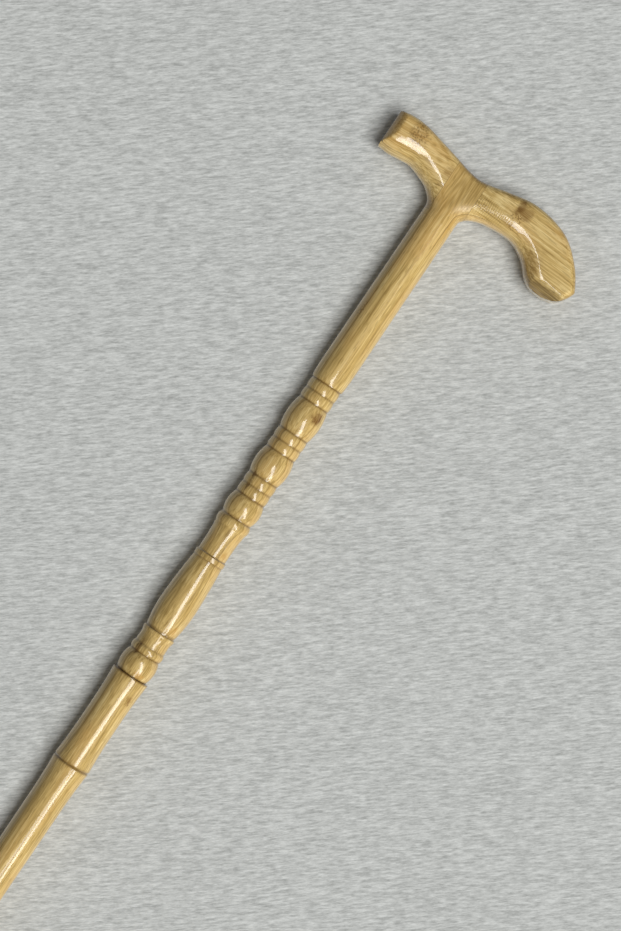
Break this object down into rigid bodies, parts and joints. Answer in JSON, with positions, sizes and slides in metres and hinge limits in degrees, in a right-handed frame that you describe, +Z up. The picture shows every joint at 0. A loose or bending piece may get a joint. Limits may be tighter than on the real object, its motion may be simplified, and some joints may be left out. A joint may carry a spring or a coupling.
{
  "type": "walking stick",
  "caption": "Walking stick with a curved T handle and a turned shaft of beads, rings and bamboo-like joints, on a rubber ferrule.",
  "frame": {"origin": "On the surface that the stick lies on, below the middle of its overall length and width.", "axes": "The stick lies on its side. +X runs up the shaft from the ferrule to the handle, +Y points to the handle's short arm and +Z is up."},
  "size_m": [0.9002, 0.1394, 0.027],
  "materials": {
    "bamboo": "clear gloss lacquer over laminated bamboo",
    "pin": "bare bamboo",
    "rubber": "moulded, matt",
    "steel": "zinc plated"
  },
  "bodies": {
    "root": {"shaft_strip_1": "bamboo", "shaft_strip_2": "bamboo", "shaft_strip_3": "bamboo", "shaft_strip_4": "bamboo", "shaft_strip_5": "bamboo", "short_arm_strip_1": "bamboo", "short_arm_strip_2": "bamboo", "short_arm_strip_3": "bamboo", "short_arm_strip_4": "bamboo", "short_arm_strip_5": "bamboo", "long_arm_strip_1": "bamboo", "long_arm_strip_2": "bamboo", "long_arm_strip_3": "bamboo", "long_arm_strip_4": "bamboo", "long_arm_strip_5": "bamboo", "short_arm_pin_1": "pin", "short_arm_pin_2": "pin", "long_arm_pin_1": "pin", "long_arm_pin_2": "pin", "ferrule": "rubber", "ferrule_washer": "steel"}
  },
  "joints": []
}
